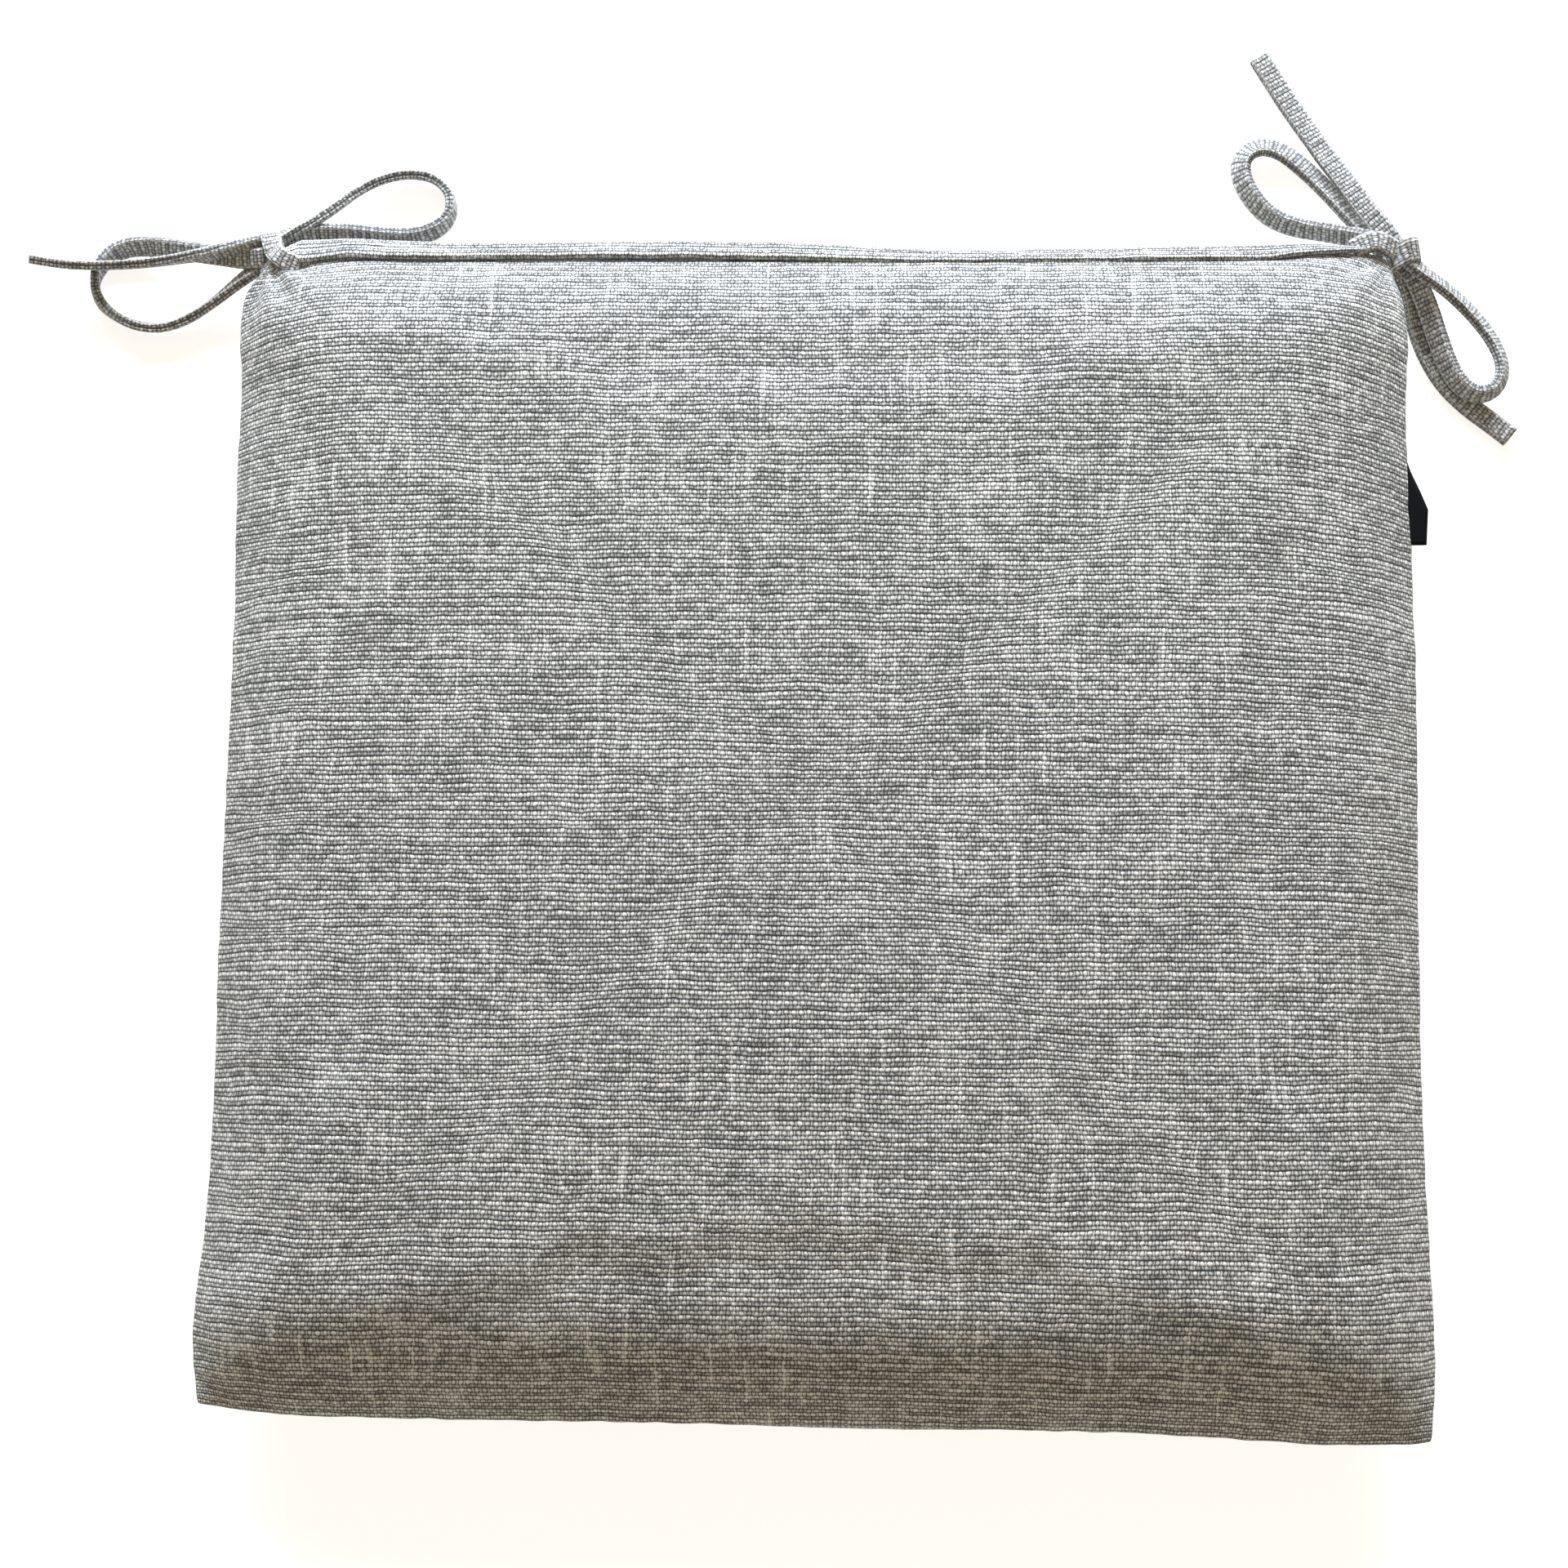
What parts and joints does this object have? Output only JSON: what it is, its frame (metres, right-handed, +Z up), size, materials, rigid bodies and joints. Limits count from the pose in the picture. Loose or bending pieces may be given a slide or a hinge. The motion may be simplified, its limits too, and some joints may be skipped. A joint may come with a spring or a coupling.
{
  "type": "chair seat pad",
  "caption": "Square padded chair cushion with a zipped, removable woven cover, a folded side label and tie tapes knotted into bows at the back corners.",
  "frame": {"origin": "centre of the flat underside", "axes": "+Z up out of the top, +Y towards the back edge with the zip and the ties, +X towards the side with the label"},
  "size_m": [0.5246, 0.476, 0.0399],
  "materials": {
    "cover_fabric": "plain ribbed weave of light grey and grey-brown yarns",
    "tie_fabric": "the cover's fabric, folded into narrow tapes and edge stitched",
    "liner": "white non-woven",
    "wadding": "white polyester wadding",
    "foam": "pale open-cell foam",
    "zip_tape": "fine twill tape, grey-brown",
    "zip_coil": "nylon coil, grey-brown",
    "zip_metal": "die-cast zinc, enamelled grey",
    "label": "black satin woven label, blank"
  },
  "bodies": {
    "pad": {"cover_top_panel": "cover_fabric", "cover_bottom_panel": "cover_fabric", "zip_flap": "cover_fabric", "liner_top": "liner", "liner_bottom": "liner", "wadding_top": "wadding", "wadding_bottom": "wadding", "foam_core": "foam", "zip_tape_upper": "zip_tape", "zip_tape_lower": "zip_tape", "zip_coil_upper": "zip_coil", "zip_coil_lower": "zip_coil", "zip_stop_closed_end": "zip_metal", "zip_stop_open_end": "zip_metal", "side_label": "label", "tie_root_left": "tie_fabric", "tie_root_right": "tie_fabric", "knot_left": "tie_fabric", "knot_right": "tie_fabric", "tie_left_inner": "tie_fabric", "tie_left_outer": "tie_fabric", "tie_right_inner": "tie_fabric", "tie_right_outer": "tie_fabric"},
    "slider": {"zip_slider": "zip_metal"},
    "pull_tab": {"zip_pull_tab": "zip_metal"}
  },
  "joints": [
    {"name": "zip_slide", "type": "slide", "parent": "pad", "child": "slider", "axis": [-1, 0, 0], "range_m": [0, 0.296]},
    {"name": "pull_tab_swing", "type": "hinge", "parent": "slider", "child": "pull_tab", "pos_m": [0.1545, 0.1964, 0.018], "axis": [0, 0, -1], "range_deg": [0, 150]}
  ]
}
